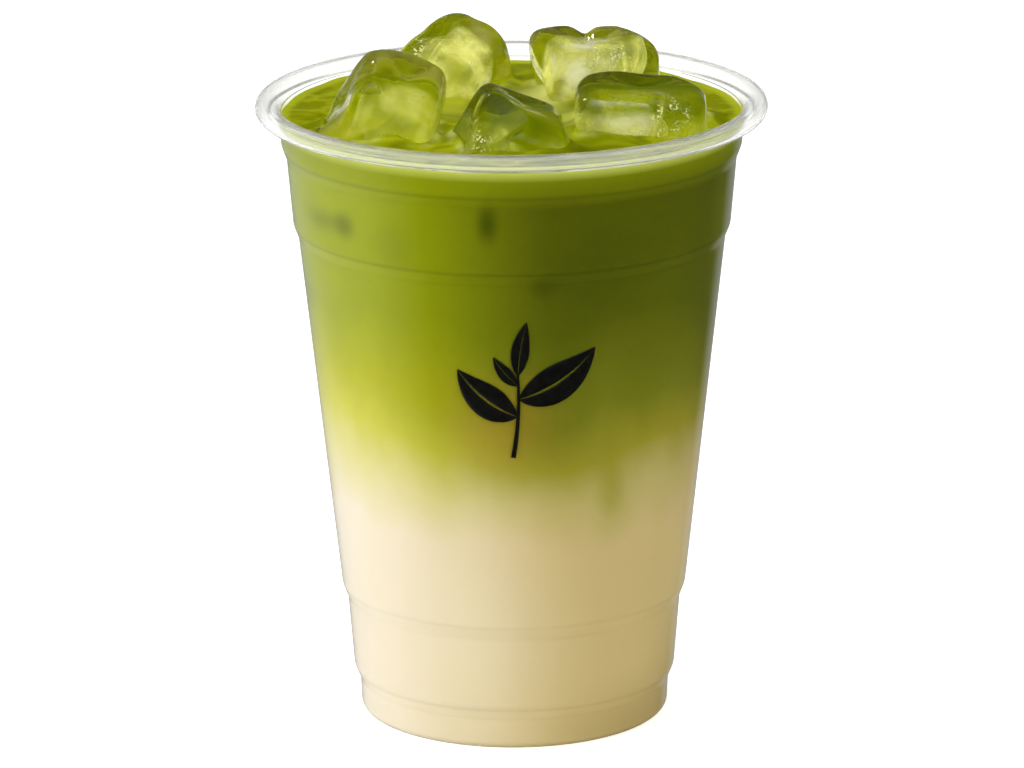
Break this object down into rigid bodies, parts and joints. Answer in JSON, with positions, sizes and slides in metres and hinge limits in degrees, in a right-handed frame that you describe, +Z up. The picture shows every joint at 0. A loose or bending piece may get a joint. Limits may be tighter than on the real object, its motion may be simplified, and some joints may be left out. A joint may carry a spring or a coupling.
{
  "type": "iced matcha drink in a clear cup",
  "caption": "Clear disposable cup with a rolled lip, filled with green matcha over pale coconut milk, with melting ice cubes standing out of the top.",
  "frame": {"origin": "centre of the cup's foot, on the surface that it stands on", "axes": "+Z up along the cup's axis, -Y towards the viewer, +X to the viewer's right"},
  "size_m": [0.098, 0.0978, 0.1325],
  "materials": {
    "cup_plastic": "clear thin PET, glossy",
    "matcha_tea": "opaque cloudy liquid, glossy surface",
    "coconut_milk": "opaque milky liquid, glossy surface",
    "ice": "wet melting ice, tinted green by the drink"
  },
  "bodies": {
    "root": {"cup": "cup_plastic", "matcha_layer": "matcha_tea", "coconut_layer": "coconut_milk", "ice_left": "ice", "ice_back_left": "ice", "ice_back_right": "ice", "ice_front": "ice", "ice_right": "ice"}
  },
  "joints": []
}
